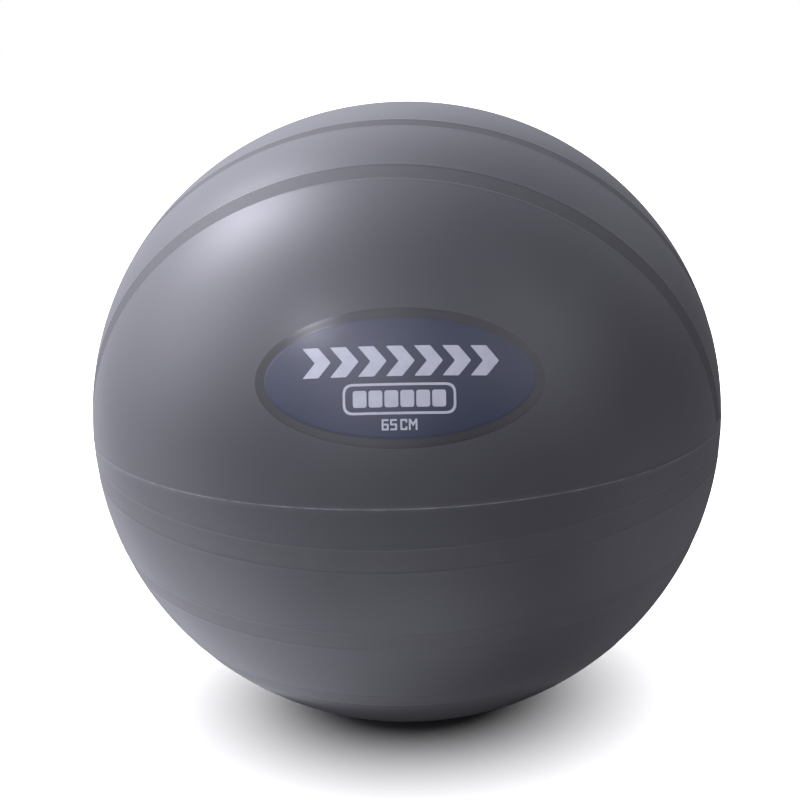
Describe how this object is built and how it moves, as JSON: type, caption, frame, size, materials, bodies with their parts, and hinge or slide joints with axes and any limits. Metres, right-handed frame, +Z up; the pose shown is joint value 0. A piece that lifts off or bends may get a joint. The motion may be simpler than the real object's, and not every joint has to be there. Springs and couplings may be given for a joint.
{
  "type": "exercise ball",
  "caption": "Round inflated exercise ball with shallow grip bands, an oval label and a pull-out valve plug.",
  "frame": {"origin": "centre of the ball's footprint on the floor", "axes": "+Z up, square to the level parting ridge; -Y towards the oval label, +Y towards the valve"},
  "size_m": [0.65, 0.65, 0.6376],
  "materials": {
    "skin": "satin grey PVC, slightly violet",
    "bush": "matt dark grey PVC",
    "plug": "matt white polyethylene",
    "label": "glossy slate blue ink"
  },
  "bodies": {
    "ball": {"ball_shell": "skin", "valve_bush": "bush", "oval_label": "label"},
    "plug": {"valve_plug": "plug"}
  },
  "joints": [
    {"name": "plug_pull", "type": "slide", "parent": "ball", "child": "plug", "axis": [0, 0.9397, 0.342], "range_m": [0, 0.04]}
  ]
}
